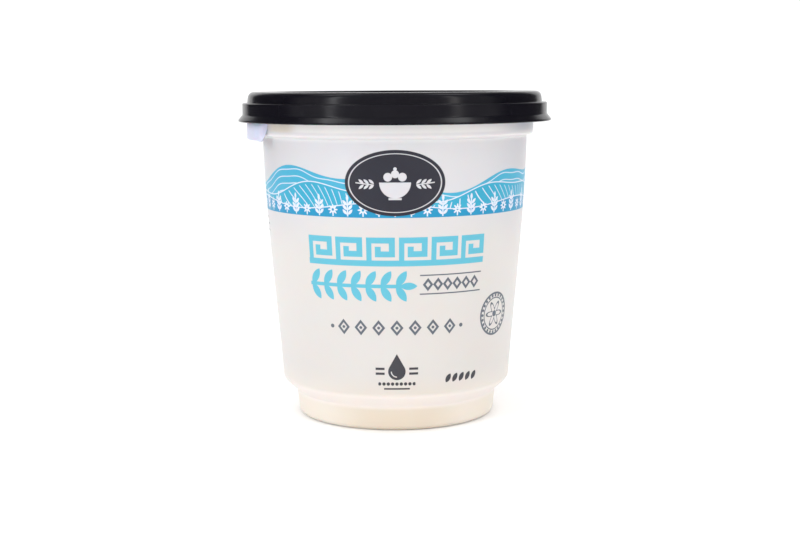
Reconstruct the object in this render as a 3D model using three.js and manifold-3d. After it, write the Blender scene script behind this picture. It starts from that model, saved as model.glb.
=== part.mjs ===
// A shut yogurt tub for 400 g: a milky plastic tub, full, under a black press-on lid.
//
// Millimetres, +Z up. The origin is the centre of the base, and the front is -Y.
// The tub is one moulding: a stepped foot, a tapered wall, a collar, the rim that the
// lid presses over, and a finger tab under the rim on the -X side. The pack is shut and
// can't be seen into, so the tub is solid up to the seal across its rim.

import * as THREE from 'three';
import { mergeVertices } from 'three/addons/utils/BufferGeometryUtils.js';
import Module from 'manifold-3d';

// Driving dimensions
const HEIGHT = 101.6;          // floor to the top of the lid
const LID_RADIUS = 49.0;       // lid, at the flare of its skirt
const COLLAR_RADIUS = 43.5;    // the step outwards at the top of the wall
const WALL_TOP_RADIUS = 41.5;
const WALL_FOOT_RADIUS = 36.0;
const FOOT_RADIUS = 31.75;
const CLEARANCE = 0.3;         // lid to tub
const PLASTIC = 1.0;           // wall of the lid and of the finger tab
const SIDES = 80;              // straight sides round each circle
const ARC_STEP = Math.PI / 6;  // the most that one straight stretch of a fillet turns
const EDGE_ROUND = 0.35;       // the fillet on a crisp moulded edge
const CORNER_ROUND = 0.6;      // the fillet in a soft moulded corner

// Lid: its heights run down from the top
const LID_CROWN_RADIUS = 46.2; // just above the step
const CROWN_DRAFT = 0.5;       // the crown narrows by this much to its top
const CROWN_ROUND = 1.8;
const LID_SKIRT_RADIUS = 47.7; // below the step
const LID_STEP = HEIGHT - 3.4;
const LID_FLARE = HEIGHT - 6.95;
const LID_BOTTOM = HEIGHT - 9.1;
const LIP_HEIGHT = 0.55;       // the upright edge of the flare
const PANEL_DEPTH = 2.7;       // the sunk middle, which takes the foot of the next tub
const PANEL_RADIUS = 36.2;
const PANEL_SLOPE = 1.5;

// Tub: heights up from the floor
const FOOT_TOP = 7.35;         // where the foot meets the sloping shoulder
const WALL_FOOT = 11.6;        // where the shoulder meets the wall
const SHOULDER_ROUND = 3.2;
const WALL_BULGE = 0.55;       // the most that the wall stands outside a straight cone
const WALL_STEPS = 7;
const COLLAR_ROOT = 88.0;
const COLLAR_EDGE = 88.65;
const COLLAR_ROUND = 0.8;      // the collar's soft lower edge
const RIM_BOTTOM = 93.9;
const RIM_RADIUS = LID_SKIRT_RADIUS - PLASTIC - CLEARANCE;
const SEAL = LID_STEP - PLASTIC - CLEARANCE; // the seal across the rim

// Foot and base
const FOOT_DRAFT = 0.75;       // the foot narrows by this much to the floor
const BASE_ROUND = 1.5;
const BASE_RECESS = 0.9;
const BASE_RING = 3.0;         // width of the ring that the tub stands on

// Finger tab, in line with the rim above it
const TAB_TURN = Math.PI / 18; // how far its middle lies in front of -X
const TAB_HALF_WIDTH = 14;
const TAB_BOTTOM = 86.85;
const TAB_EDGE_ROUND = 1.3;
const TAB_WEB_FOOT = 44.9;     // how far out the webs' slanted inner edges end, at the tab's bottom
const TAB_WEB_TOP = 42.5;      // and how far in they end, inside the collar
const TAB_ROOT = WALL_TOP_RADIUS - 4; // where the tab's bar starts, inside the wall

// An outline of [radius, height, fillet] corners, as points with an arc in each corner.
function filleted(corners) {
  const points = [];
  corners.forEach(([r, z, fillet], i) => {
    const corner = new THREE.Vector2(r, z);
    const before = corners[i - 1];
    const after = corners[i + 1];
    if (!fillet || !before || !after) {
      points.push(corner);
      return;
    }
    const back = new THREE.Vector2(before[0], before[1]).sub(corner).normalize();
    const on = new THREE.Vector2(after[0], after[1]).sub(corner).normalize();
    const half = Math.acos(THREE.MathUtils.clamp(back.dot(on), -1, 1)) / 2;
    const turn = Math.PI - 2 * half;
    const centre = back.clone().add(on).normalize().multiplyScalar(fillet / Math.sin(half)).add(corner);
    const reach = fillet / Math.tan(half);
    const start = back.clone().multiplyScalar(reach).add(corner).sub(centre);
    const side = Math.sign(back.x * on.y - back.y * on.x);
    const steps = Math.max(1, Math.ceil(turn / ARC_STEP));
    for (let k = 0; k <= steps; k += 1) {
      const spoke = start.clone().rotateAround(new THREE.Vector2(), -side * turn * k / steps);
      points.push(spoke.add(centre));
    }
  });
  return points;
}

// A solid turned about the Z axis. The outline runs up the outside, from axis to axis.
function turned(outline) {
  const geometry = new THREE.LatheGeometry(outline, SIDES);
  geometry.rotateX(Math.PI / 2);
  return closed(geometry);
}

// A geometry with its seams merged and its empty triangles dropped.
function closed(geometry) {
  geometry.deleteAttribute('normal');
  geometry.deleteAttribute('uv');
  const merged = mergeVertices(geometry, 1e-4);
  const index = merged.index.array;
  const kept = [];
  for (let i = 0; i < index.length; i += 3) {
    const [a, b, c] = index.slice(i, i + 3);
    if (a !== b && b !== c && c !== a) kept.push(a, b, c);
  }
  merged.setIndex(kept);
  return merged;
}

function solid(wasm, geometry) {
  return new wasm.Manifold(new wasm.Mesh({
    numProp: 3,
    vertProperties: new Float32Array(geometry.attributes.position.array),
    triVerts: new Uint32Array(geometry.index.array),
  }));
}

function asGeometry(manifold) {
  const { vertProperties, triVerts } = manifold.getMesh();
  const geometry = new THREE.BufferGeometry();
  geometry.setAttribute('position', new THREE.BufferAttribute(vertProperties, 3));
  geometry.setIndex(new THREE.BufferAttribute(triVerts, 1));
  return geometry;
}

// The wall's outline, from the shoulder up to the collar. It is bowed slightly outwards by
// a curve that peaks at 1 two thirds of the way up.
function wallPoint(t) {
  const straight = THREE.MathUtils.lerp(WALL_FOOT_RADIUS, WALL_TOP_RADIUS, t);
  const z = THREE.MathUtils.lerp(WALL_FOOT, COLLAR_ROOT, t);
  const bow = 27 / 4 * t * t * (1 - t);
  return [straight + WALL_BULGE * bow, z];
}

function tubOutline() {
  const wall = [];
  for (let k = 1; k < WALL_STEPS; k += 1) wall.push([...wallPoint(k / WALL_STEPS), 0]);
  const footBottom = FOOT_RADIUS - FOOT_DRAFT;
  const ringInner = footBottom - BASE_RING;
  return filleted([
    [0, BASE_RECESS, 0],
    [ringInner - BASE_RECESS, BASE_RECESS, CORNER_ROUND],
    [ringInner, 0, EDGE_ROUND],
    [footBottom, 0, BASE_ROUND],
    [FOOT_RADIUS, FOOT_TOP, CORNER_ROUND],
    [WALL_FOOT_RADIUS, WALL_FOOT, SHOULDER_ROUND],
    ...wall,
    [WALL_TOP_RADIUS, COLLAR_ROOT, CORNER_ROUND],
    [COLLAR_RADIUS, COLLAR_EDGE, COLLAR_ROUND],
    [COLLAR_RADIUS, RIM_BOTTOM, EDGE_ROUND],
    [RIM_RADIUS, RIM_BOTTOM, CORNER_ROUND],
    [RIM_RADIUS, SEAL, CORNER_ROUND],
    [0, SEAL, 0],
  ]);
}

// An upright bar as wide as the finger tab less an inset each side. It runs from inside the
// wall to past the rim, and from one height to another.
function tabBar(inset, bottom, top) {
  const y = TAB_HALF_WIDTH - inset;
  const plan = new THREE.Shape([
    new THREE.Vector2(-TAB_ROOT, -y),
    new THREE.Vector2(-TAB_ROOT, y),
    new THREE.Vector2(-LID_RADIUS, y),
    new THREE.Vector2(-LID_RADIUS, -y),
  ]);
  const geometry = new THREE.ExtrudeGeometry(plan, { depth: top - bottom, bevelEnabled: false });
  geometry.translate(0, 0, bottom);
  geometry.rotateZ(TAB_TURN);
  return closed(geometry);
}

// What bounds the tab: the rim's cylinder with a rounded lower edge, over a cone that cuts the
// webs on a slant, down and outwards from the collar.
function tabBounds(top) {
  const webTop = RIM_BOTTOM - PLASTIC;
  return turned(filleted([
    [0, webTop, 0],
    [TAB_WEB_TOP, webTop, 0],
    [TAB_WEB_FOOT, TAB_BOTTOM, 0],
    [RIM_RADIUS, TAB_BOTTOM, TAB_EDGE_ROUND],
    [RIM_RADIUS, top, 0],
    [0, top, 0],
  ]));
}

// The round that the tab is hollow inside of.
function tabHollow(bottom) {
  const radius = RIM_RADIUS - PLASTIC;
  return turned(filleted([
    [0, bottom, 0],
    [radius, bottom, 0],
    [radius, RIM_BOTTOM, 0],
    [0, RIM_BOTTOM, 0],
  ]));
}

// The tab is a curved plate and two side webs, open below and joined to the rim above.
function tab(wasm) {
  const below = TAB_BOTTOM - PLASTIC;
  const insideRim = RIM_BOTTOM + PLASTIC;
  const block = solid(wasm, tabBar(0, below, insideRim));
  const bounds = solid(wasm, tabBounds(insideRim));
  const hollowBlock = solid(wasm, tabBar(PLASTIC, below, RIM_BOTTOM));
  const hollowRound = solid(wasm, tabHollow(below));
  return block.intersect(bounds).subtract(hollowBlock.intersect(hollowRound));
}

function tubGeometry(wasm) {
  return asGeometry(solid(wasm, turned(tubOutline())).add(tab(wasm)));
}

// The lid: a sunk middle, a raised ring, a step, a skirt and a flare, all one thickness.
function lidOutline() {
  const panelTop = HEIGHT - PANEL_DEPTH;
  const ringInner = PANEL_RADIUS + PANEL_SLOPE;
  const skirtInside = LID_SKIRT_RADIUS - PLASTIC;
  const under = LID_STEP - PLASTIC;
  const crownTop = LID_CROWN_RADIUS - CROWN_DRAFT;
  return filleted([
    [0, panelTop - PLASTIC, 0],
    [PANEL_RADIUS + PLASTIC, panelTop - PLASTIC, 0],
    [ringInner + PLASTIC, HEIGHT - PLASTIC, 0],
    [crownTop - PLASTIC, HEIGHT - PLASTIC, CROWN_ROUND - PLASTIC],
    [LID_CROWN_RADIUS - PLASTIC, under, 0],
    [skirtInside, under, 0],
    [skirtInside, LID_FLARE, 0],
    [LID_RADIUS - PLASTIC, LID_BOTTOM, 0],
    [LID_RADIUS, LID_BOTTOM, EDGE_ROUND],
    [LID_RADIUS, LID_BOTTOM + LIP_HEIGHT, EDGE_ROUND],
    [LID_SKIRT_RADIUS, LID_FLARE, CORNER_ROUND],
    [LID_SKIRT_RADIUS, LID_STEP, EDGE_ROUND],
    [LID_CROWN_RADIUS, LID_STEP, EDGE_ROUND],
    [crownTop, HEIGHT, CROWN_ROUND],
    [ringInner, HEIGHT, CORNER_ROUND],
    [PANEL_RADIUS, panelTop, CORNER_ROUND],
    [0, panelTop, 0],
  ]);
}

function lidGeometry() {
  return turned(lidOutline());
}

function named(name, geometry, material) {
  const mesh = new THREE.Mesh(geometry, material);
  mesh.name = name;
  return mesh;
}

const wasm = await Module();
wasm.setup();

const milkyPlastic = new THREE.MeshStandardMaterial({ color: 0xede9e6, roughness: 0.42, metalness: 0 });
const blackPlastic = new THREE.MeshStandardMaterial({ color: 0x242329, roughness: 0.38, metalness: 0 });

const yogurtTub = new THREE.Group();
yogurtTub.add(named('tub', tubGeometry(wasm), milkyPlastic));
yogurtTub.add(named('lid', lidGeometry(), blackPlastic));

export default yogurtTub;
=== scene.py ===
"""A shut tub of yogurt: a milky plastic tub with a printed wall, under a black press-on lid."""

import math
from functools import reduce

import bmesh
import bpy
from bpy.props import FloatProperty, FloatVectorProperty, IntProperty, PointerProperty
from mathutils import Matrix, Vector


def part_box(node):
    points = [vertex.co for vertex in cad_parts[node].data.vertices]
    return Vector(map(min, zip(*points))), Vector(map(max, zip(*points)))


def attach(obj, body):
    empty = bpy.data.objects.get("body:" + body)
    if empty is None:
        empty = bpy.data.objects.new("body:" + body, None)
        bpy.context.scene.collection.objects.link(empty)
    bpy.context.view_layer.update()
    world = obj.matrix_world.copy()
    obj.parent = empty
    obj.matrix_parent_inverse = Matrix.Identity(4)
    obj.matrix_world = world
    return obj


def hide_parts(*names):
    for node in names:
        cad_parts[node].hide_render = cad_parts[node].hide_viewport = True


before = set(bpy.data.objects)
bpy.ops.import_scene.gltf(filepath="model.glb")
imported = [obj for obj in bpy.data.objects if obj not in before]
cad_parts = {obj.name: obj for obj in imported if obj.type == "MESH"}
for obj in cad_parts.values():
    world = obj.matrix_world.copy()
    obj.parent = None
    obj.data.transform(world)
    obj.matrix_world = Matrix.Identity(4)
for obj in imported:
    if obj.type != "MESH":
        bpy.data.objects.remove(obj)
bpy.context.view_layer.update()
TUB_LOW, TUB_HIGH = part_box("tub")
LID_LOW, LID_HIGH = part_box("lid")

bl_info = {
    "name": "Yogurt Tub",
    "version": (1, 0, 0),
    "blender": (4, 5, 0),
    "location": "3D View > Sidebar > Yogurt Tub",
    "description": "Builds a printed yogurt tub with a press-on lid, and a pale studio for it",
    "category": "Add Mesh",
}

MM = 0.001
BODY = "root"
IMAGE_WIDTH = 800
SENSOR_WIDTH = 36.0
WELD = 0.001 * MM


def length(name, description, default):
    """A property that holds a length in metres."""
    return FloatProperty(
        name=name, description=description, default=default, unit="LENGTH", precision=5
    )


def colour(name, description, default):
    """A property that holds a linear colour."""
    return FloatVectorProperty(
        name=name, description=description, default=default,
        subtype="COLOR", size=3, min=0.0, max=1.0,
    )


def angle(name, description, degrees):
    """A property that holds an angle, with its default given in degrees."""
    return FloatProperty(
        name=name, description=description, default=math.radians(degrees), subtype="ANGLE"
    )


def factor(name, description, default):
    """A property that holds a share from 0 to 1."""
    return FloatProperty(
        name=name, description=description, default=default, subtype="FACTOR", min=0.0, max=1.0
    )


def number(name, description, default):
    """A property that holds a plain number."""
    return FloatProperty(name=name, description=description, default=default)


def linear(red, green, blue):
    """A colour given as on a screen, 0 to 255, as Blender's linear numbers."""
    def channel(value):
        share = value / 255
        return share / 12.92 if share <= 0.04045 else ((share + 0.055) / 1.055) ** 2.4

    return tuple(channel(value) for value in (red, green, blue))


class TubSizes(bpy.types.PropertyGroup):
    """Sizes of the tub and of its finger tab."""

    sides: IntProperty(name="Sides", description="Sides round the tub", default=192, min=24)
    rim_radius: length("Rim radius", "Rim under the lid", TUB_HIGH.y)
    seal: length("Seal height", "Top of the rim and its seal", TUB_HIGH.z)
    rim_bottom: length("Rim bottom", "Where the rim meets the collar", TUB_HIGH.z - 3.0 * MM)
    collar_radius: length("Collar radius", "Step outwards at the top of the wall", 43.5 * MM)
    collar_edge: length("Collar edge", "Height of the collar's lower edge", 88.65 * MM)
    collar_round: length("Collar round", "Fillet of the collar's lower edge", 0.8 * MM)
    collar_root: length("Collar root", "Height where the collar meets the wall", 88.0 * MM)
    wall_top_radius: length("Wall top radius", "Wall under the collar", 41.5 * MM)
    wall_foot_radius: length("Wall foot radius", "Wall above the shoulder", 36.0 * MM)
    wall_foot: length("Wall foot", "Height of the shoulder's edge", 11.6 * MM)
    wall_bulge: length("Wall bulge", "The most that the wall bows outside a cone", 0.55 * MM)
    shoulder_round: length("Shoulder round", "Fillet of the shoulder's edge", 3.2 * MM)
    foot_top: length("Foot top", "Height where the foot meets the shoulder", 7.6 * MM)
    foot_round: length("Foot round", "Fillet of the corner at the foot's top", 1.0 * MM)
    foot_radius: length("Foot radius", "Foot under the shoulder", 31.75 * MM)
    foot_draft: length("Foot draft", "How much the foot narrows to the floor", 0.75 * MM)
    base_round: length("Base round", "Fillet of the foot's lower edge", 1.8 * MM)
    base_recess: length("Base recess", "Depth of the hollow under the foot", 0.9 * MM)
    base_ring: length("Base ring", "Width of the ring that the tub stands on", 3.0 * MM)
    tab_half_width: length("Tab half width", "Half the finger tab's width", 14.0 * MM)
    tab_turn: angle("Tab turn", "How far the finger tab's middle lies in front of -X", 10)
    tab_bottom: length("Tab bottom", "Height of the finger tab's lower edge", 86.85 * MM)
    tab_wall: length("Tab wall", "Thickness of the finger tab", 1.0 * MM)
    tab_edge: length("Tab edge", "Fillet of the finger tab's lower edge", 1.3 * MM)
    web_foot: length("Web foot", "Radius that the webs' slanted edges run in from", 44.9 * MM)
    web_slope: number("Web slope", "How steeply those edges rise inwards", 2.52)


class LidSizes(bpy.types.PropertyGroup):
    """Sizes of the lid."""

    sides: IntProperty(name="Sides", description="Sides round the lid", default=192, min=24)
    radius: length("Radius", "Lid at the edge of its flare", LID_HIGH.y)
    top: length("Top", "Height of the raised ring", LID_HIGH.z)
    bottom: length("Bottom", "Height of the flare's lower edge", LID_LOW.z)
    crown_radius: length("Crown radius", "Lid just above its step", 46.2 * MM)
    crown_draft: length("Crown draft", "How much the crown narrows to its top", 0.5 * MM)
    skirt_radius: length("Skirt radius", "Lid below its step", 47.7 * MM)
    step_drop: length("Step drop", "From the top down to the step", 3.4 * MM)
    flare_drop: length("Flare drop", "From the top down to the flare", 6.95 * MM)
    lip_height: length("Lip height", "Upright edge of the flare", 0.55 * MM)
    crown_round: length("Crown round", "Fillet of the crown's edge", 1.8 * MM)
    plastic: length("Plastic", "Thickness of the lid", 1.0 * MM)
    panel_drop: length("Panel drop", "Depth of the sunk middle", 2.7 * MM)
    panel_radius: length("Panel radius", "Radius of the sunk middle", 36.2 * MM)
    panel_slope: length("Panel slope", "Width of the slope round the sunk middle", 1.5 * MM)


class TubLooks(bpy.types.PropertyGroup):
    """Colours and finish of the tub's plastic, with painted light and shade among the colours."""

    milk: colour("Milk", "Plastic with yogurt behind it", linear(199, 196, 194))
    headspace: colour("Headspace", "Plastic above the yogurt", linear(195, 195, 200))
    # Painted shade: the plastic above the yogurt is darker towards the sides of the tub, where less
    # light falls
    shaded_headspace: colour("Shaded headspace", "Plastic above the yogurt at the sides", linear(188, 188, 194))
    # Painted light: the collar is lighter than the wall below it, against the shadow that the lid
    # casts on it
    collar: colour("Collar", "Thicker plastic of the collar", linear(223, 221, 219))
    # Painted light and shade: the collar's rounded lower edge gets a tone lighter than the wall and
    # darker than the collar's painted light
    collar_lip_light: colour("Collar lip light", "Plastic at the collar's lower edge", linear(211, 209, 210))
    # Painted shade: a warm, darker patch on the collar beside the finger tab, where the lid's edge
    # shades it
    tab_shade: colour("Tab shade", "Warm patch of the collar by the finger tab", linear(205, 197, 185))
    cream: colour("Cream", "Plastic of the foot", linear(208, 196, 180))
    # Painted light: the foot is lighter towards its sides, as more light falls there
    side_lit_cream: colour("Side lit cream", "Plastic of the foot at its sides", linear(220, 212, 201))
    # Painted light: a lighter band on the shoulder, which faces down towards the bright floor
    shoulder: colour("Shoulder", "Plastic between the foot and the wall", linear(226, 218, 213))
    thin: colour("Thin", "Plastic of the finger tab's plate", linear(190, 195, 214))
    # Painted light: the webs are lighter, against the lid's shadow on them
    web: colour("Web", "Plastic of the finger tab's two webs", linear(206, 209, 228))
    fill_height: length("Fill height", "Height of the yogurt at the sides of the tub", 62.0 * MM)
    # Painted light: the yogurt's line stands higher at the front than at the sides, which makes the
    # front lighter
    lit_front_lean: length("Lit front lean", "How much higher the yogurt stands at the front", 4.0 * MM)
    roughness: factor("Roughness", "Roughness of the tub", 0.36)
    shine: factor("Shine", "Specular level of the tub", 0.28)
    glow: factor("Glow", "Share of the light that spreads inside the plastic", 0.25)
    glow_reach: length("Glow reach", "How far that light spreads", 2.5 * MM)


class PrintLooks(bpy.types.PropertyGroup):
    """Inks and places of the print on the wall."""

    cyan: colour("Cyan", "Heading ink", linear(91, 172, 192))
    hill_cyan: colour("Hill cyan", "Hills in the middle", linear(48, 154, 184))
    sky_cyan: colour("Sky cyan", "Far hills", linear(64, 159, 189))
    deep_cyan: colour("Deep cyan", "Near hills", linear(24, 134, 175))
    charcoal: colour("Charcoal", "Badge ink", linear(35, 35, 46))
    pale: colour("Pale", "Lines left open in the fields of ink", linear(203, 208, 219))
    slate: colour("Slate", "Grey-blue ink of the small marks", linear(69, 78, 92))
    band_bottom: length("Band bottom", "Height of the band's straight lower edge", 65.55 * MM)
    badge_height: length("Badge height", "Height of the oval badge's middle", 75.65 * MM)
    charcoal_cover: factor("Charcoal cover", "Ink in the dark marks low on the wall", 0.95)
    slate_cover: factor("Slate cover", "Ink in the small grey-blue marks", 0.92)
    panel_cover: factor("Panel cover", "Ink in the ruled panel, beside the dark marks' own", 0.8)


class LidLooks(bpy.types.PropertyGroup):
    """Colour and finish of the lid."""

    black: colour("Black", "Lid plastic", linear(14, 13, 19))
    roughness: factor("Roughness", "Roughness of the lid", 0.19)
    shine: factor("Shine", "Specular level of the lid", 0.1)


class StageLooks(bpy.types.PropertyGroup):
    """The studio and the camera."""

    floor: colour("Floor", "Pale floor and backdrop", (0.94, 0.94, 0.94))
    distance: length("Distance", "From the camera to the tub's axis", 440.6 * MM)
    eye: length("Eye height", "Camera height above the floor", 104.95 * MM)
    tilt: angle("Tilt", "How far the camera looks down", 7.62)
    roll: angle("Roll", "How far the camera leans", -0.3)
    focal_pixels: number("Focal length", "In pixels of the image", 1390.0)
    off_centre: number("Off centre", "Tub's place left of the middle, in pixels", 4.5)
    daylight: number("Daylight", "Strength of the even light all round", 1.03)


# Outlines


def rounded(corners, steps=8, hold=0.35 * MM):
    """Points along corners, each a radius, a height and a fillet, with an arc in each fillet.

    A short stretch beside each arc has a point at its end, which keeps the arc's shading off
    the flats. It takes at most a share of what is free of the edge.
    """
    most = 0.4
    spots = [Vector((radius, height)) for radius, height, _ in corners]
    halves = [0.0 for _ in corners]
    reaches = [0.0 for _ in corners]
    for i in range(1, len(corners) - 1):
        halves[i] = (spots[i - 1] - spots[i]).angle(spots[i + 1] - spots[i]) / 2
        reaches[i] = corners[i][2] / math.tan(halves[i])

    def stretch(i, j):
        """From a corner to the end of the short stretch towards its neighbour."""
        free = (spots[i] - spots[j]).length - reaches[i] - reaches[j]
        return reaches[i] + min(hold, free * most)

    points = []
    for i, (corner, half, run) in enumerate(zip(spots, halves, reaches)):
        if not run:
            points.append(corner)
            continue
        back = (spots[i - 1] - corner).normalized()
        on = (spots[i + 1] - corner).normalized()
        centre = corner + (back + on).normalized() * (corners[i][2] / math.sin(half))
        start = corner + back * run - centre
        turn = -math.copysign(math.pi - 2 * half, back.cross(on))
        points.append(corner + back * stretch(i, i - 1))
        points += [centre + Matrix.Rotation(turn * k / steps, 2) @ start for k in range(steps + 1)]
        points.append(corner + on * stretch(i, i + 1))
    return points


def wall_radius(sizes, share):
    """Radius of the tub's wall at a share of the way up. It bows most two thirds of the way."""
    straight = sizes.wall_foot_radius + (sizes.wall_top_radius - sizes.wall_foot_radius) * share
    peak = 4 / 27
    return straight + sizes.wall_bulge * share * share * (1 - share) / peak


def tub_outline(sizes):
    """The tub's outline from the middle of its base to the middle of its seal."""
    steps, crisp, soft = 16, 0.3 * MM, 0.7 * MM
    foot_bottom = sizes.foot_radius - sizes.foot_draft
    ring_inner = foot_bottom - sizes.base_ring
    climb = sizes.collar_root - sizes.wall_foot
    wall = [
        (wall_radius(sizes, k / steps), sizes.wall_foot + climb * k / steps, 0)
        for k in range(1, steps)
    ]
    return rounded([
        (0, sizes.base_recess, 0),
        (ring_inner - sizes.base_recess, sizes.base_recess, 0.6 * MM),
        (ring_inner, 0, crisp),
        (foot_bottom, 0, sizes.base_round),
        (sizes.foot_radius, sizes.foot_top, sizes.foot_round),
        (sizes.wall_foot_radius, sizes.wall_foot, sizes.shoulder_round),
        *wall,
        (sizes.wall_top_radius, sizes.collar_root, 0.5 * MM),
        (sizes.collar_radius, sizes.collar_edge, sizes.collar_round),
        (sizes.collar_radius, sizes.rim_bottom, crisp),
        (sizes.rim_radius, sizes.rim_bottom, soft),
        (sizes.rim_radius, sizes.seal, soft),
        (0, sizes.seal, 0),
    ])


def lid_outline(sizes):
    """The lid's outline from the middle of its underside, round its edge, to its top's middle."""
    tight, crisp, soft = 0.15 * MM, 0.3 * MM, 0.7 * MM
    panel_top = sizes.top - sizes.panel_drop
    ring_inner = sizes.panel_radius + sizes.panel_slope
    step = sizes.top - sizes.step_drop
    flare = sizes.top - sizes.flare_drop
    inside = sizes.skirt_radius - sizes.plastic
    under = step - sizes.plastic
    crown_top = sizes.crown_radius - sizes.crown_draft
    return rounded([
        (0, panel_top - sizes.plastic, 0),
        (sizes.panel_radius + sizes.plastic, panel_top - sizes.plastic, crisp),
        (ring_inner + sizes.plastic, sizes.top - sizes.plastic, crisp),
        (crown_top - sizes.plastic, sizes.top - sizes.plastic, crisp),
        (sizes.crown_radius - sizes.plastic, under, tight),
        (inside, under, tight),
        (inside, flare, 0.4 * MM),
        (sizes.radius - sizes.plastic, sizes.bottom, tight),
        (sizes.radius, sizes.bottom, crisp),
        (sizes.radius, sizes.bottom + sizes.lip_height, crisp),
        (sizes.skirt_radius, flare, 0.8 * MM),
        (sizes.skirt_radius, step, 0.35 * MM),
        (sizes.crown_radius, step, crisp),
        (crown_top, sizes.top, sizes.crown_round),
        (ring_inner, sizes.top, soft),
        (sizes.panel_radius, panel_top, soft),
        (0, panel_top, 0),
    ], hold=0.2 * MM)


# Turned pieces, by Geometry Nodes


def turning_tree():
    """A node tree that turns an outline in the XZ plane round the Z axis."""
    tree = bpy.data.node_groups.new("Turned piece", "GeometryNodeTree")
    inputs = {"Outline": "Geometry", "Sides": "Int", "Weld": "Float", "Material": "Material"}
    for name, kind in inputs.items():
        tree.interface.new_socket(name, in_out="INPUT", socket_type="NodeSocket" + kind)
    tree.interface.new_socket("Piece", in_out="OUTPUT", socket_type="NodeSocketGeometry")

    def node(kind, sockets=(), **settings):
        made = tree.nodes.new(kind)
        for name, value in settings.items():
            setattr(made, name, value)
        for key, value in dict(sockets).items():
            if isinstance(value, bpy.types.NodeSocket):
                tree.links.new(value, made.inputs[key])
            else:
                made.inputs[key].default_value = value
        return made

    def maths(operation, *values):
        return node("ShaderNodeMath", dict(enumerate(values)), operation=operation).outputs[0]

    given = node("NodeGroupInput").outputs
    outline = given["Outline"]
    count = node("GeometryNodeAttributeDomainSize", {"Geometry": outline}).outputs["Point Count"]
    columns = maths("ADD", given["Sides"], 1)
    grid = node("GeometryNodeMeshGrid", {"Vertices X": columns, "Vertices Y": count}).outputs[0]
    index = node("GeometryNodeInputIndex").outputs[0]
    row = maths("FLOORED_MODULO", index, count)
    column = maths("FLOOR", maths("DIVIDE", index, count))
    turn = maths("MULTIPLY", maths("DIVIDE", column, given["Sides"]), math.tau)
    place = node("GeometryNodeInputPosition").outputs[0]
    found = node(
        "GeometryNodeSampleIndex", {"Geometry": outline, "Index": row},
        data_type="FLOAT_VECTOR", domain="POINT",
    )
    tree.links.new(place, next(s for s in found.inputs if s.name == "Value" and s.enabled))
    sampled = next(s for s in found.outputs if s.enabled)
    split = node("ShaderNodeSeparateXYZ", {0: sampled}).outputs
    point = node("ShaderNodeCombineXYZ", {
        "X": maths("MULTIPLY", split["X"], maths("SINE", turn)),
        "Y": maths("MULTIPLY", maths("MULTIPLY", split["X"], maths("COSINE", turn)), -1),
        "Z": split["Z"],
    }).outputs[0]
    shape = grid
    for kind, sockets in (
        ("GeometryNodeSetPosition", {"Position": point}),
        ("GeometryNodeMergeByDistance", {"Distance": given["Weld"]}),
        ("GeometryNodeSetShadeSmooth", {}),
        ("GeometryNodeRealizeInstances", {}),
        ("GeometryNodeSetMaterial", {"Material": given["Material"]}),
    ):
        shape = node(kind, {"Geometry": shape, **sockets}).outputs[0]
    node("NodeGroupOutput", {"Piece": shape})
    return tree


def turned_piece(name, outline, sides, material):
    """A finished mesh, turned from an outline."""
    tree = bpy.data.node_groups.get("Turned piece") or turning_tree()
    chain = bpy.data.meshes.new(name + "_outline")
    links = [(i, i + 1) for i in range(len(outline) - 1)]
    chain.from_pydata([(point.x, 0, point.y) for point in outline], links, [])
    helper = bpy.data.objects.new(name + "_outline", chain)
    bpy.context.collection.objects.link(helper)
    modifier = helper.modifiers.new("Turn", "NODES")
    modifier.node_group = tree
    inputs = {"Sides": sides, "Weld": WELD, "Material": material}
    for item in tree.interface.items_tree:
        if item.name in inputs:
            modifier[item.identifier] = inputs[item.name]
    bpy.context.view_layer.update()
    evaluated = helper.evaluated_get(bpy.context.evaluated_depsgraph_get())
    mesh = bpy.data.meshes.new_from_object(evaluated)
    helper.modifiers.remove(modifier)
    bpy.data.objects.remove(helper)
    return finished_piece(name, mesh, material)


def finished_piece(name, mesh, material):
    """An object for a mesh, with its faces turned outwards, its own material and smooth shading."""
    work = bmesh.new()
    work.from_mesh(mesh)
    bmesh.ops.remove_doubles(work, verts=work.verts, dist=WELD)
    bmesh.ops.recalc_face_normals(work, faces=work.faces)
    for face in work.faces:
        face.smooth = True
    work.to_mesh(mesh)
    work.free()
    mesh.materials.clear()
    mesh.materials.append(material)
    mesh.name = name
    piece = bpy.data.objects.new(name, mesh)
    bpy.context.collection.objects.link(piece)
    return piece


def stands_for(piece, node):
    """The piece replaces a CAD node and rides on the body."""
    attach(piece, BODY)
    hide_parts(node)


# Shader maths


class Wire:
    """An output socket in a shader. Arithmetic on it adds Math nodes."""

    def __init__(self, paint, socket):
        self.paint = paint
        self.socket = socket

    def maths(self, operation, *values, clamp=False):
        """A Math node on the values, held between 0 and 1 where clamp says so."""
        settings = {"operation": operation, "use_clamp": clamp}
        return self.paint.node("ShaderNodeMath", settings, dict(enumerate(values)))

    def __add__(self, other):
        return self.maths("ADD", self, other)

    def __sub__(self, other):
        return self.maths("SUBTRACT", self, other)

    def __rsub__(self, other):
        return self.maths("SUBTRACT", other, self)

    def __mul__(self, other):
        return self.maths("MULTIPLY", self, other)

    def __truediv__(self, other):
        return self.maths("DIVIDE", self, other)

    def __rtruediv__(self, other):
        return self.maths("DIVIDE", other, self)

    def __neg__(self):
        return self.maths("MULTIPLY", self, -1)

    def __abs__(self):
        return self.maths("ABSOLUTE", self)

    __radd__ = __add__
    __rmul__ = __mul__


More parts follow.
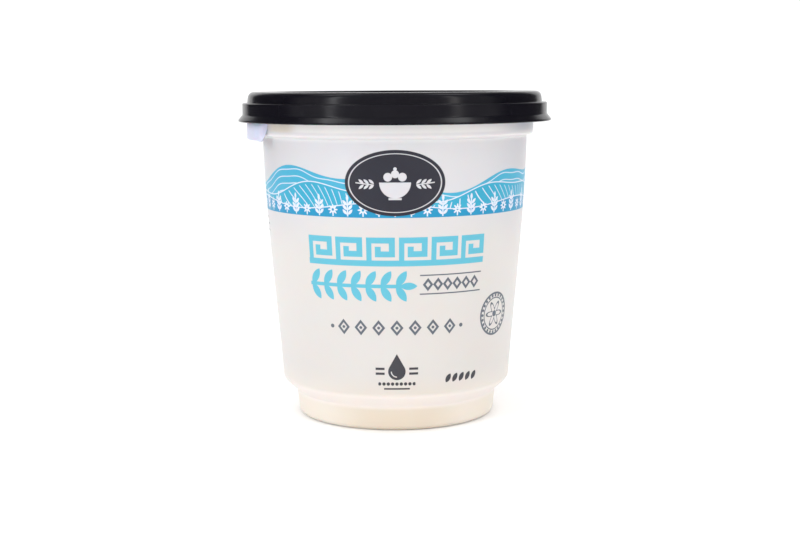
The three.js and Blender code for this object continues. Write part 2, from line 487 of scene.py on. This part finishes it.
class Paint:
    """A material's node tree, with the one way that nodes are added to it."""

    # The Mix node's sockets for colours, by number, because it uses their names more than once
    MIX_FACTOR, MIX_FIRST, MIX_SECOND, MIX_RESULT = 0, 6, 7, 2

    def __init__(self, name):
        self.material = bpy.data.materials.new(name)
        self.material.use_nodes = True
        self.tree = self.material.node_tree
        self.tree.nodes.clear()

    def node(self, kind, settings=(), sockets=(), output=0):
        """Adds a node, with its settings set before its sockets, and gives one of its outputs."""
        made = self.tree.nodes.new(kind)
        for name, value in dict(settings).items():
            setattr(made, name, value)
        for key, value in dict(sockets).items():
            if isinstance(value, Wire):
                self.tree.links.new(value.socket, made.inputs[key])
            else:
                made.inputs[key].default_value = value
        return Wire(self, made.outputs[output]) if made.outputs else None

    def mix(self, factor, first, second):
        """The first colour where the factor is 0, and the second where it is 1."""
        sockets = {self.MIX_FACTOR: factor}
        for key, value in ((self.MIX_FIRST, first), (self.MIX_SECOND, second)):
            sockets[key] = value if isinstance(value, Wire) else (*value, 1.0)
        return self.node("ShaderNodeMix", {"data_type": "RGBA"}, sockets, self.MIX_RESULT)

    def layers(self, base, *layers):
        """A colour with others laid over it in turn, each as much as its mask says."""
        for mask, over in layers:
            base = self.mix(mask, base, over)
        return base

    def place(self):
        """Object coordinates in millimetres, as a vector and as three numbers."""
        metres = self.node("ShaderNodeTexCoord", output="Object")
        sockets = {0: metres, "Scale": 1 / MM}
        vector = self.node("ShaderNodeVectorMath", {"operation": "SCALE"}, sockets)
        return vector, [self.node("ShaderNodeSeparateXYZ", {}, {0: vector}, axis) for axis in "XYZ"]

    def noise(self, vector, scale, detail):
        """Noise from 0 to 1, with its scale per millimetre."""
        sockets = {"Vector": vector, "Scale": scale, "Detail": detail, "Roughness": 0.5}
        return self.node("ShaderNodeTexNoise", {}, sockets)

    def bump(self, height, distance, strength):
        """A normal for a height, with its distance in millimetres."""
        sockets = {"Height": height, "Distance": distance * MM, "Strength": strength}
        return self.node("ShaderNodeBump", {}, sockets)

    def surface(self, **sockets):
        """A Principled shader, with its sockets by name in lower case."""
        def named(key):
            return key.replace("_", " ").title().replace("Ior", "IOR")

        inputs = {named(key): value for key, value in sockets.items()}
        return self.node("ShaderNodeBsdfPrincipled", {}, inputs)

    def finish(self, shader):
        """The material, with the shader on its surface."""
        self.node("ShaderNodeOutputMaterial", {}, {"Surface": shader})
        return self.material


def lesser(first, second):
    """The smaller of two values."""
    return first.maths("MINIMUM", first, second)


def greater(first, second):
    """The larger of two values."""
    return first.maths("MAXIMUM", first, second)


def sine(value):
    """Sine of an angle in radians."""
    return value.maths("SINE", value)


def cosine(value):
    """Cosine of an angle in radians."""
    return value.maths("COSINE", value)


def reach(across, up):
    """Distance from the middle of a figure."""
    return across.maths("SQRT", across * across + up * up)


def bearing(across, up):
    """Angle round the middle of a figure."""
    return across.maths("ARCTAN2", up, across)


def repeat(value, period):
    """The value within its own period, from minus half a period to plus half."""
    return value.maths("WRAP", value, period / 2, -period / 2)


def rise(value, low, high):
    """From 0 to 1, smoothly, as the value goes from low to high."""
    sockets = {"Value": value, "From Min": low, "From Max": high}
    return value.paint.node("ShaderNodeMapRange", {"interpolation_type": "SMOOTHSTEP"}, sockets)


def about(value, middle, outer, inner):
    """1 within an inner distance of a middle, falling to 0 at an outer distance."""
    return rise(abs(value - middle), outer, inner)


def vary(noise, amount):
    """Noise from 0 to 1 as a change, by up to half the amount each way."""
    return (noise - 0.5) * amount


# Figures. Each is a signed distance in millimetres, below 0 inside it.


def disc(across, up, radius):
    """A disc about the middle."""
    return reach(across, up) - radius


def oval(across, up, half_width, half_height):
    """An ellipse about the middle."""
    shape = reach(across / half_width, up / half_height) - 1
    return shape * min(half_width, half_height)


def bar(across, up, half_width, half_height):
    """An upright rectangle about the middle."""
    return greater(abs(across) - half_width, abs(up) - half_height)


def diamond(across, up, half_width, half_height):
    """A diamond about the middle."""
    slope = math.hypot(half_width, half_height)
    return (abs(across) * half_height + abs(up) * half_width - half_width * half_height) / slope


def leaf(across, up, half_length, half_width, turn):
    """A pointed leaf, where two arcs cross, turned by an angle."""
    along = across * math.cos(turn) + up * math.sin(turn)
    aside = abs(up * math.cos(turn) - across * math.sin(turn))
    arc = (half_length ** 2 + half_width ** 2) / (2 * half_width)
    return reach(along, aside + (arc - half_width)) - arc


def teardrop(across, up, radius, tip):
    """A drop: a disc, and the cone that touches it and ends that far above its middle."""
    slope = radius / tip
    side = abs(across) * math.sqrt(1 - slope ** 2) + (up - tip) * slope
    return any_of(disc(across, up, radius), within(side, radius * slope - up))


def petals(across, up, count, radius, swing):
    """A flower, whose edge swings out of a circle and in again once for each petal."""
    return reach(across, up) - (cosine(bearing(across, up) * count) * swing + radius)


def outline_of(distance, thickness):
    """The line along a figure's edge."""
    return abs(distance) - thickness / 2


def any_of(*figures):
    """The figures put together."""
    return reduce(lesser, figures)


def within(*figures):
    """The part that all the figures share."""
    return reduce(greater, figures)


def ink(figure, softness=0.11):
    """How much ink there is, from 0 to 1, with an edge that is this soft in millimetres."""
    return figure.maths("MULTIPLY_ADD", figure, -1 / softness, 0.5, clamp=True)


# The print


# Middles of the marks: degrees round the wall, to the right of the front, and millimetres up
PLACES = {
    "meander": (0.5, 51.45),
    "laurel": (-17.4, 45.3),
    "label": (25.6, 45.65),
    "spaced_row": (0.5, 32.75),
    "stamp": (52.2, 34.6),
    "drop": (0.4, 20.15),
    "grains": (32.6, 16.7),
    "panel_head": (-98.0, 61.0),
    "panel_block": (-108.0, 42.0),
}

# Tops of the hills: a height over the band's foot, and waves round the tub, each given by its
# count, its phase and its height
FAR_TOP = (11.0, (3, 3.67, 2.6), (7, 1.64, 1.5))
MIDDLE_TOP = (7.4, (4, 3.9, 2.3), (9, math.pi / 2, 0.8))
NEAR_TOP = (3.5, (5, 0.6 + math.pi / 2, 1.1))
FURROWS = 104
BLOOMS = 27

# The strokes of one turn of a meander: left, right, bottom and top, in widths of a stroke
KEY_STROKES = (
    (-1, 7, 0, 1), (0, 1, 0, 6), (0, 6, 5, 6), (5, 6, 2, 6), (2, 6, 2, 3), (2, 3, 2, 4),
)
DIAMOND_LINE = 0.68


class Wall:
    """The tub's wall as a sheet: azimuth from the front, positive to the right, and height."""

    def __init__(self, paint, sizes):
        self.sizes = sizes
        self.vector, (east, north, self.up) = paint.place()
        self.azimuth = bearing(-north, east)
        self.reach = reach(east, north)

    def radius(self, height):
        """The wall's radius in millimetres at a height in millimetres."""
        low, high = self.sizes.wall_foot / MM, self.sizes.collar_root / MM
        return wall_radius(self.sizes, (height - low) / (high - low)) / MM

    def at(self, degrees, height):
        """Millimetres across and up from a place on the wall."""
        across = (self.azimuth - math.radians(degrees)) * self.radius(height)
        return across, self.up - height

    def side(self, low, high):
        """From 0 to 1 as the azimuth, to either side, goes from low to high in degrees."""
        return rise(abs(self.azimuth), math.radians(low), math.radians(high))

    def under(self, height, *waves):
        """Millimetres down from a rolling line to a place on the wall."""
        for count, phase, swell in waves:
            height = height + sine(self.azimuth * count + phase) * swell
        return height - self.up


def hills(paint, wall, looks, plain):
    """The cyan band: hills in three depths, with furrows, daisies and sprigs left white."""
    base = looks.band_bottom / MM
    part_way = 6
    radius = wall.radius(base + part_way)
    girth = math.tau * radius
    across, above = wall.azimuth * radius, wall.up - base
    below = base - wall.up
    far_depth, middle_depth, near_depth = (
        wall.under(base + top, *waves) for top, *waves in (FAR_TOP, MIDDLE_TOP, NEAR_TOP)
    )
    far, middle, near = (
        ink(within(-depth, below)) for depth in (far_depth, middle_depth, near_depth)
    )

    line, edge, inset, cover, pitch = 0.3, 0.42, 0.1, 0.85, 2.1
    wobble = sine(wall.azimuth * 23) * 0.25
    contours = ink(outline_of(repeat(far_depth + wobble - pitch / 2, pitch), line))
    bend = middle_depth * 0.9 * sine(wall.azimuth * 4 + 1.2)
    furrows = ink(outline_of(repeat(across + bend, girth / FURROWS), line))
    furrows = furrows * rise(middle_depth, 0.8, 1.2)
    middle_edge, near_edge = (
        ink(outline_of(depth - inset, edge)) for depth in (middle_depth, near_depth)
    )

    pitch = girth / BLOOMS
    daisies = daisy(repeat(across, pitch), above - 2.2)
    sprigs = sprig(repeat(across - pitch / 2, pitch), above)
    return paint.layers(
        plain,
        (far, looks.sky_cyan),
        (far * contours * (1 - middle) * cover, looks.pale),
        (middle, looks.hill_cyan),
        (middle * (1 - near) * greater(furrows, middle_edge), looks.pale),
        (near, looks.deep_cyan),
        (near * near_edge, looks.pale),
        (ink(any_of(daisies, sprigs)) * ink(below + 0.3), looks.pale),
    )


def daisy(across, up):
    """A flower with an open middle, on a short stem."""
    heart = 0.4
    flower = petals(across, up, count=8, radius=1.2, swing=0.4)
    stem = bar(across, up + 1.6, half_width=0.2, half_height=0.8)
    return any_of(within(flower, heart - reach(across, up)), stem)


def sprig(across, up):
    """A stem with three pairs of leaves and one at its tip."""
    lowest, pitch, aside = 1.6, 1.35, 0.85
    shape = {"half_length": 1.0, "half_width": 0.42, "turn": math.radians(48)}
    pairs = [leaf(abs(across) - aside, up - lowest - pitch * k, **shape) for k in range(3)]
    tip = leaf(across, up - 5.7, half_length=0.95, half_width=0.4, turn=math.radians(90))
    stem = bar(across, up - 2.6, half_width=0.2, half_height=2.4)
    return any_of(stem, tip, *pairs)


def badge(wall, looks):
    """A dark oval, and what is left white on it: a line round it, a bowl and two sprigs."""
    across, up = wall.at(0, looks.badge_height / MM)
    side = abs(across)
    field = oval(across, up, half_width=14.9, half_height=9.6)
    keyline = outline_of(oval(across, up, half_width=13.7, half_height=8.5), thickness=0.22)

    brim, depth = 0.2, 4.6
    bowl = within(disc(across, up - brim, radius=depth), up - brim)
    foot = bar(across, up + depth, half_width=1.9, half_height=0.28)
    dollops = any_of(
        disc(across, up - 2.6, radius=1.15),
        disc(side - 2.1, up - 1.75, radius=1.25),
        disc(across, up - 4.1, radius=0.5),
    )

    along, slant = side - 8.9, 0.12
    stem = bar(along, up + 0.2 - along * slant, half_width=2.7, half_height=0.16)
    first, pitch, aside, lean = -2.0, 1.5, 0.75, math.radians(40)
    leaves = [
        leaf(
            along - first - pitch * k, up + 0.3 - hand * aside,
            half_length=1.0, half_width=0.38, turn=hand * lean,
        )
        for k in range(3) for hand in (-1, 1)
    ]
    return ink(field), ink(any_of(keyline, bowl, foot, dollops, stem, *leaves))


def meander(wall):
    """A row of key turns on one bar."""
    across, up = wall.at(*PLACES["meander"])
    unit, turns, wide, high, swell = 1.36, 6, 7, 6, 0.2
    pitch = wide * unit
    end = (turns * pitch - unit) / 2
    turn = repeat(across + end - pitch / 2, pitch) + pitch / 2
    key = any_of(*(
        bar(turn - (left + right) / 2 * unit, up - (bottom + top) / 2 * unit,
            (right - left) / 2 * unit, (top - bottom) / 2 * unit)
        for left, right, bottom, top in KEY_STROKES
    ))
    return within(key, bar(across, up - high / 2 * unit, end, (high / 2 + 1) * unit)) - swell


def laurel(wall):
    """A branch with pairs of leaves and one at its right end."""
    across, up = wall.at(*PLACES["laurel"])
    half, pitch, aside, end = 15.6, 4.5, 2.2, 0.2
    shape = {"half_length": 2.8, "half_width": 1.2, "turn": math.radians(58)}
    pairs = leaf(repeat(across, pitch), abs(up) - aside, **shape)
    tip = leaf(across - half, up, half_length=2.6, half_width=1.1, turn=0)
    stem = bar(across, up, half, half_height=0.55)
    return any_of(stem, within(pairs, abs(across) - half + end), tip)


def label(wall):
    """A row of diamonds between two rules."""
    across, up = wall.at(*PLACES["label"])
    pitch, count = 3.1, 6
    rules = bar(across, abs(up) - 2.8, half_width=10.2, half_height=0.19)
    row = diamond(repeat(across - pitch / 2, pitch), up, half_width=1.15, half_height=1.45)
    row = within(outline_of(row, DIAMOND_LINE), abs(across) - pitch * count / 2)
    return any_of(rules, row)


def spaced_row(wall):
    """A row of diamonds with a dot in each, and a dot past each end."""
    across, up = wall.at(*PLACES["spaced_row"])
    pitch, row_end, dots_end = 5.4, 18.8, 20.8
    side, inside = abs(across), repeat(across, pitch)
    row = diamond(inside, up, half_width=1.5, half_height=1.85)
    row = within(outline_of(row, DIAMOND_LINE), side - row_end)
    dots = any_of(disc(inside, up, radius=0.45), disc(side - 20.0, up, radius=0.6))
    return any_of(row, within(dots, side - dots_end))


def stamp(wall):
    """A flower in two rings, with beads between them."""
    across, up = wall.at(*PLACES["stamp"])
    rings = [
        outline_of(disc(across, up, radius), line) for radius, line in ((6.4, 0.62), (4.95, 0.38))
    ]
    flower = outline_of(petals(across, up, count=6, radius=2.6, swing=1.2), thickness=0.8)
    heart = disc(across, up, radius=0.95)
    count, ring, size = 24, 5.7, 0.46
    arc = repeat(bearing(across, up), math.tau / count) * (ring + 0.1)
    return any_of(*rings, flower, heart, disc(arc, reach(across, up) - ring, size))


def drop(wall):
    """A drop with a glint, dashes to each side, and beads and a line under it."""
    across, up = wall.at(*PLACES["drop"])
    side, lift = abs(across), up + 0.7
    glint = outline_of(disc(across, lift, radius=1.65), thickness=0.3)
    glint = within(glint, across, lift)
    mark = within(teardrop(across, lift, radius=2.6, tip=5.4), -glint)
    dashes = bar(side - 5.0, abs(up + 0.6) - 0.75, half_width=1.35, half_height=0.36)
    bead_pitch, beads_end = 1.3, 5.6
    beads = disc(repeat(across, bead_pitch), up + 4.5, radius=0.52)
    line = bar(across, up + 6.0, half_width=3.9, half_height=0.25)
    return any_of(mark, dashes, within(beads, side - beads_end), line)


def grains(wall):
    """A short row of slanted grains."""
    across, up = wall.at(*PLACES["grains"])
    pitch, count = 2.3, 5
    shape = {"half_length": 1.5, "half_width": 0.78, "turn": math.radians(62)}
    return within(leaf(repeat(across, pitch), up, **shape), abs(across) - pitch * count / 2)


def ruled_panel(wall):
    """Ink in broken lines round the left side: a block, and a wider head over it."""
    across, up = wall.at(*PLACES["panel_head"])
    head = bar(across, up, half_width=14.2, half_height=3.3)
    block = bar(*wall.at(*PLACES["panel_block"]), half_width=11.4, half_height=13.6)
    row_pitch, dash_pitch = 2.1, 5.3
    rows = within(outline_of(repeat(up, row_pitch), thickness=0.55), any_of(head, block))
    stagger = sine(up * 2.1) * 3.0
    gaps = outline_of(repeat(across + stagger, dash_pitch), thickness=0.9)
    return ink(rows) * (1 - ink(gaps))


# Finishes


def unprinted(paint, wall, looks, cloud):
    """The tub's colour: yogurt or air behind the plastic, thinner places, and painted light and
    shade on the collar, shoulder, webs and sides.

    Heights and radii are in millimetres.
    """
    up, out = wall.up, wall.reach
    ledge = wall.sizes.foot_top / MM + 1.8
    lip = wall.sizes.collar_edge / MM + 0.05
    collar_out = wall.sizes.collar_radius / MM
    smear = paint.noise(wall.vector, scale=0.12, detail=3.0)
    # The yogurt's line, with a random wander; its rise towards the front is painted light, making
    # the front lighter than the sides
    surface = (looks.fill_height + looks.lit_front_lean * cosine(wall.azimuth)) / MM + vary(smear, 5.0)

    # Painted shade: the plastic above the yogurt, and the collar, darken towards both sides
    beside = wall.side(36, 66)
    # Painted shade on the collar beside the finger tab, where the lid's edge shades it
    by_tab = about(wall.azimuth, math.radians(-52), math.radians(12), math.radians(4))
    empty = paint.mix(beside, looks.headspace, looks.shaded_headspace)
    # The foot is lighter towards its sides: painted light
    foot = paint.mix(wall.side(12, 45), looks.cream, looks.side_lit_cream)
    collar = paint.layers(looks.collar, (beside, looks.shaded_headspace), (by_tab, looks.tab_shade))
    return paint.layers(
        looks.milk,
        (rise(up - surface, -14.0, 8.0), empty),
        (1 - rise(up, 3.0, 20.0), foot),
        (vary(cloud, 0.25) + 0.1, looks.cream),
        # Painted light on the shoulder, lit from the floor below
        (about(up, ledge, 3.3, 1.4), looks.shoulder),
        # Painted light on the collar against the lid's shadow, with painted shade at its sides and
        # beside the tab
        (rise(up, lip + 0.6, lip + 1.6), collar),
        # Painted light and shade along the collar's rounded lower edge
        (about(up, lip, 1.9, 0.4), looks.collar_lip_light),
        # Painted light on the webs, against the lid's shadow
        (rise(out, collar_out + 0.08, collar_out + 0.25), looks.web),
        (rise(out, collar_out + 1.1, collar_out + 2.5), looks.thin),
    )


def milky_plastic(tub, looks, inks):
    """Milky plastic with yogurt behind it, painted light and shade, and the print on its wall."""
    paint = Paint("milky_plastic")
    wall = Wall(paint, tub)
    cloud = paint.noise(wall.vector, scale=0.035, detail=3.0)
    grain = paint.noise(wall.vector, scale=1.6, detail=2.0)
    plain = unprinted(paint, wall, looks, cloud)
    field, left_open = badge(wall, inks)
    low_marks = greater(ink(any_of(drop(wall), grains(wall))), ruled_panel(wall) * inks.panel_cover)
    printed = paint.layers(
        hills(paint, wall, inks, plain),
        (field, inks.charcoal),
        (left_open, plain),
        (ink(any_of(meander(wall), laurel(wall))), inks.cyan),
        (ink(any_of(label(wall), spaced_row(wall), stamp(wall))) * inks.slate_cover, inks.slate),
        (low_marks * inks.charcoal_cover, inks.charcoal),
    )
    return paint.finish(paint.surface(
        base_color=printed,
        roughness=looks.roughness + vary(grain, 0.06) + vary(cloud, 0.08),
        normal=paint.bump(grain * 0.2 + cloud, distance=0.05, strength=0.4),
        subsurface_weight=looks.glow,
        subsurface_scale=looks.glow_reach,
        specular_IOR_level=looks.shine,
    ))


def black_plastic(looks):
    """Satin black plastic, with a fine mould grain and faint rubs."""
    paint = Paint("black_plastic")
    vector, _ = paint.place()
    grain = paint.noise(vector, scale=3.5, detail=2.0)
    rubs = paint.noise(vector, scale=0.09, detail=4.0)
    rubbed = tuple(1.5 * value for value in looks.black)
    return paint.finish(paint.surface(
        base_color=paint.mix(rubs * 0.35, looks.black, rubbed),
        roughness=looks.roughness + vary(rubs, 0.14) + vary(grain, 0.05),
        normal=paint.bump(grain * 0.3 + rubs, distance=0.05, strength=0.3),
        specular_IOR_level=looks.shine,
    ))


# Finger tab


def tab_path(sizes):
    """Stations along the middle of the tab's wall: place and way outwards, seen from above."""
    web_steps, bend_steps, plate_steps = 6, 6, 14
    bend, buried = 1.6 * MM, 1.0 * MM
    middle = sizes.rim_radius - sizes.tab_wall / 2
    half = sizes.tab_half_width - sizes.tab_wall / 2
    root = sizes.wall_top_radius - buried
    spread = math.asin(half / middle)
    corner = Vector((-middle * math.cos(spread), half))
    stations = []
    for k in range(web_steps + 1):
        along = -root + (corner.x + root + bend) * k / web_steps
        stations.append((Vector((along, half)), Vector((0, 1))))
    centre = corner + Vector((bend, -bend))
    for k in range(1, bend_steps):
        turn = (math.pi / 2 - spread) * k / bend_steps
        way = Vector((-math.sin(turn), math.cos(turn)))
        stations.append((centre + way * bend, way))
    web = [(Vector((spot.x, -spot.y)), Vector((way.x, -way.y))) for spot, way in stations]
    inset = math.asin((half - bend) / middle)
    for k in range(plate_steps + 1):
        turn = inset * (1 - 2 * k / plate_steps)
        way = Vector((-math.cos(turn), math.sin(turn)))
        stations.append((way * middle, way))
    swing = Matrix.Rotation(sizes.tab_turn, 2)
    return [(swing @ spot, swing @ way) for spot, way in stations + web[::-1]]


def tab_section(sizes, place):
    """Offsets outwards and heights round the tab's wall at one station."""
    ease, steps, overlap = 0.42 * MM, 5, 0.3 * MM
    edge, half = sizes.tab_edge, sizes.tab_wall / 2
    excess = max(0.0, place.length - (sizes.rim_radius - edge))
    bottom = sizes.tab_bottom + edge - math.sqrt(edge ** 2 - min(excess, edge * 0.98) ** 2)
    bottom += max(0.0, sizes.web_foot - place.length) * sizes.web_slope
    top = sizes.rim_bottom + overlap
    outer = [(half, top), (half, (top + bottom) / 2)]
    for k in range(steps + 1):
        turn = math.pi / 2 * k / steps
        outer.append((half - ease + ease * math.cos(turn), bottom + ease - ease * math.sin(turn)))
    return outer + [(-out, height) for out, height in reversed(outer)]


def tab_mesh(sizes):
    """The finger tab: a curved plate with two webs, closed where it runs into the tub."""
    work = bmesh.new()
    rings = []
    for place, way in tab_path(sizes):
        section = tab_section(sizes, place)
        rings.append([work.verts.new((*(place + way * out), height)) for out, height in section])
    for first, second in zip(rings, rings[1:]):
        for k in range(len(first)):
            work.faces.new((first[k - 1], second[k - 1], second[k], first[k]))
    work.faces.new(rings[0])
    work.faces.new(rings[-1])
    mesh = bpy.data.meshes.new("finger_tab")
    work.to_mesh(mesh)
    work.free()
    return mesh


# Stage


# Each light's place, its width and height, its power in watts and its tint
LIGHTS = {
    "left_light": ((-0.7, -0.66, 0.4), (0.09, 0.75), 3.2, (0.97, 0.98, 1.0)),
    "right_light": ((0.7, -0.68, 0.4), (0.07, 0.75), 2.2, (1.0, 0.97, 0.94)),
    "front_light": ((-0.25, -1.1, 0.14), (0.9, 0.26), 0.2, (1.0, 1.0, 1.0)),
    "top_left_light": ((-0.4, -0.05, 0.97), (0.16, 0.3), 1.3, (1.0, 1.0, 1.0)),
    "top_right_light": ((0.4, -0.05, 0.97), (0.16, 0.3), 1.3, (1.0, 1.0, 1.0)),
}
LIGHT_TARGET = (0, 0, 0.06)

# Each card's place. It faces the tub's axis at its own height.
CARDS = {"left_card": (-0.7, 0.27, 0.5), "right_card": (0.7, 0.27, 0.5)}
CARD_SIZE = (0.9, 1.0)
CARD_GREY = 0.03


def stage_bowl(pale):
    """A round floor that sweeps up into a backdrop on every side."""
    flat, sweep, steps, sides = 0.75, 0.7, 24, 128
    outline = [Vector((flat * share, 0)) for share in (0, 0.4, 0.8)]
    for k in range(steps + 1):
        turn = math.pi / 2 * k / steps
        outline.append(Vector((flat + sweep * math.sin(turn), sweep - sweep * math.cos(turn))))
    paint = Paint("pale_floor")
    vector, _ = paint.place()
    mottle = paint.noise(vector, scale=0.004, detail=3.0)
    greyer = tuple(0.985 * value for value in pale)
    material = paint.finish(paint.surface(
        base_color=paint.mix(mottle * 0.3, pale, greyer),
        roughness=0.7 + vary(mottle, 0.1),
        specular_IOR_level=0.1,
    ))
    floor = turned_piece("floor", outline, sides, material)
    above = Vector((0, 0, 1))
    for face in floor.data.polygons:
        if face.normal.dot(above - face.center.normalized()) < 0:
            floor.data.flip_normals()
            break


def soft_light(name, place, size, watts, tint):
    """A rectangular light on the tub's middle, which the camera doesn't see."""
    data = bpy.data.lights.new(name, "AREA")
    data.shape = "RECTANGLE"
    data.size, data.size_y = size
    data.energy = watts
    data.color = tint
    light = bpy.data.objects.new(name, data)
    bpy.context.collection.objects.link(light)
    light.location = place
    way = Vector(LIGHT_TARGET) - Vector(place)
    light.rotation_euler = way.to_track_quat("-Z", "Y").to_euler()
    light.visible_camera = False


def dark_card(name, place):
    """A dark card beside the tub, which shows only as a reflection."""
    width, height = CARD_SIZE
    mesh = bpy.data.meshes.new(name)
    corners = [(x * width / 2, y * height / 2, 0) for x, y in ((-1, -1), (1, -1), (1, 1), (-1, 1))]
    mesh.from_pydata(corners, [], [(0, 1, 2, 3)])
    way = Vector((0, 0, place[2])) - Vector(place)
    turn = way.to_track_quat("Z", "Y").to_matrix().to_4x4()
    mesh.transform(Matrix.Translation(place) @ turn)
    paint = Paint(name)
    mesh.materials.append(paint.finish(paint.surface(
        base_color=(CARD_GREY, CARD_GREY, CARD_GREY, 1.0), roughness=0.9,
    )))
    card = bpy.data.objects.new(name, mesh)
    bpy.context.collection.objects.link(card)
    card.visible_camera = False
    card.visible_diffuse = False
    card.visible_shadow = False


def camera(looks):
    """A camera at the photograph's place."""
    data = bpy.data.cameras.new("camera")
    data.sensor_width = SENSOR_WIDTH
    data.lens = SENSOR_WIDTH * looks.focal_pixels / IMAGE_WIDTH
    data.shift_x = looks.off_centre / IMAGE_WIDTH
    data.clip_start = 0.01
    data.clip_end = 20
    made = bpy.data.objects.new("camera", data)
    bpy.context.collection.objects.link(made)
    place = Matrix.Translation((0, -looks.distance, looks.eye))
    tilt = Matrix.Rotation(math.pi / 2 - looks.tilt, 4, "X")
    roll = Matrix.Rotation(looks.roll, 4, "Z")
    made.matrix_world = place @ tilt @ roll
    bpy.context.scene.camera = made


def daylight(strength):
    """An even white light from all round."""
    made = bpy.data.worlds.new("studio")
    made.use_nodes = True
    background = made.node_tree.nodes["Background"]
    background.inputs["Color"].default_value = (1.0, 1.0, 1.0, 1.0)
    background.inputs["Strength"].default_value = strength
    bpy.context.scene.world = made


# Operators and panel


class TUB_OT_stage(bpy.types.Operator):
    """Makes the floor, the daylight, the lights, the cards and the camera"""

    bl_idname = "tub.stage"
    bl_label = "Stage"

    def execute(self, context):
        looks = context.scene.tub_stage
        stage_bowl(tuple(looks.floor))
        daylight(looks.daylight)
        for name, (place, size, watts, tint) in LIGHTS.items():
            soft_light(name, place, size, watts, tint)
        for name, place in CARDS.items():
            dark_card(name, place)
        camera(looks)
        context.scene.view_settings.view_transform = "Standard"
        return {"FINISHED"}


class TUB_OT_tub(bpy.types.Operator):
    """Makes the tub and its finger tab"""

    bl_idname = "tub.tub"
    bl_label = "Tub"

    def execute(self, context):
        scene = context.scene
        sizes = scene.tub_sizes
        material = milky_plastic(sizes, scene.tub_looks, scene.tub_print)
        tub = turned_piece("tub_shell", tub_outline(sizes), sizes.sides, material)
        tab = finished_piece("finger_tab", tab_mesh(sizes), material)
        for piece in (tub, tab):
            stands_for(piece, "tub")
        return {"FINISHED"}


class TUB_OT_lid(bpy.types.Operator):
    """Makes the lid"""

    bl_idname = "tub.lid"
    bl_label = "Lid"

    def execute(self, context):
        sizes = context.scene.tub_lid
        material = black_plastic(context.scene.tub_lid_looks)
        lid = turned_piece("lid_shell", lid_outline(sizes), sizes.sides, material)
        stands_for(lid, "lid")
        return {"FINISHED"}


class TUB_PT_panel(bpy.types.Panel):
    """Lists the pieces and their settings"""

    bl_label = "Yogurt Tub"
    bl_idname = "TUB_PT_panel"
    bl_space_type = "VIEW_3D"
    bl_region_type = "UI"
    bl_category = "Yogurt Tub"

    def draw(self, context):
        for operator in OPERATORS:
            self.layout.operator(operator.bl_idname)
        for name in GROUPS:
            box = self.layout.box()
            group = getattr(context.scene, name)
            for key in group.__annotations__:
                box.prop(group, key)


OPERATORS = (TUB_OT_stage, TUB_OT_tub, TUB_OT_lid)
GROUPS = {
    "tub_sizes": TubSizes,
    "tub_lid": LidSizes,
    "tub_looks": TubLooks,
    "tub_print": PrintLooks,
    "tub_lid_looks": LidLooks,
    "tub_stage": StageLooks,
}
CLASSES = (*GROUPS.values(), *OPERATORS, TUB_PT_panel)


def register():
    """Adds the classes, and their settings to the scene."""
    for made in CLASSES:
        bpy.utils.register_class(made)
    for name, group in GROUPS.items():
        setattr(bpy.types.Scene, name, PointerProperty(type=group))


def unregister():
    """Takes away what register added."""
    for name in GROUPS:
        delattr(bpy.types.Scene, name)
    for made in reversed(CLASSES):
        bpy.utils.unregister_class(made)


def main():
    """Makes everything."""
    register()
    bpy.ops.tub.stage()
    bpy.ops.tub.tub()
    bpy.ops.tub.lid()


if __name__ == "__main__":
    main()
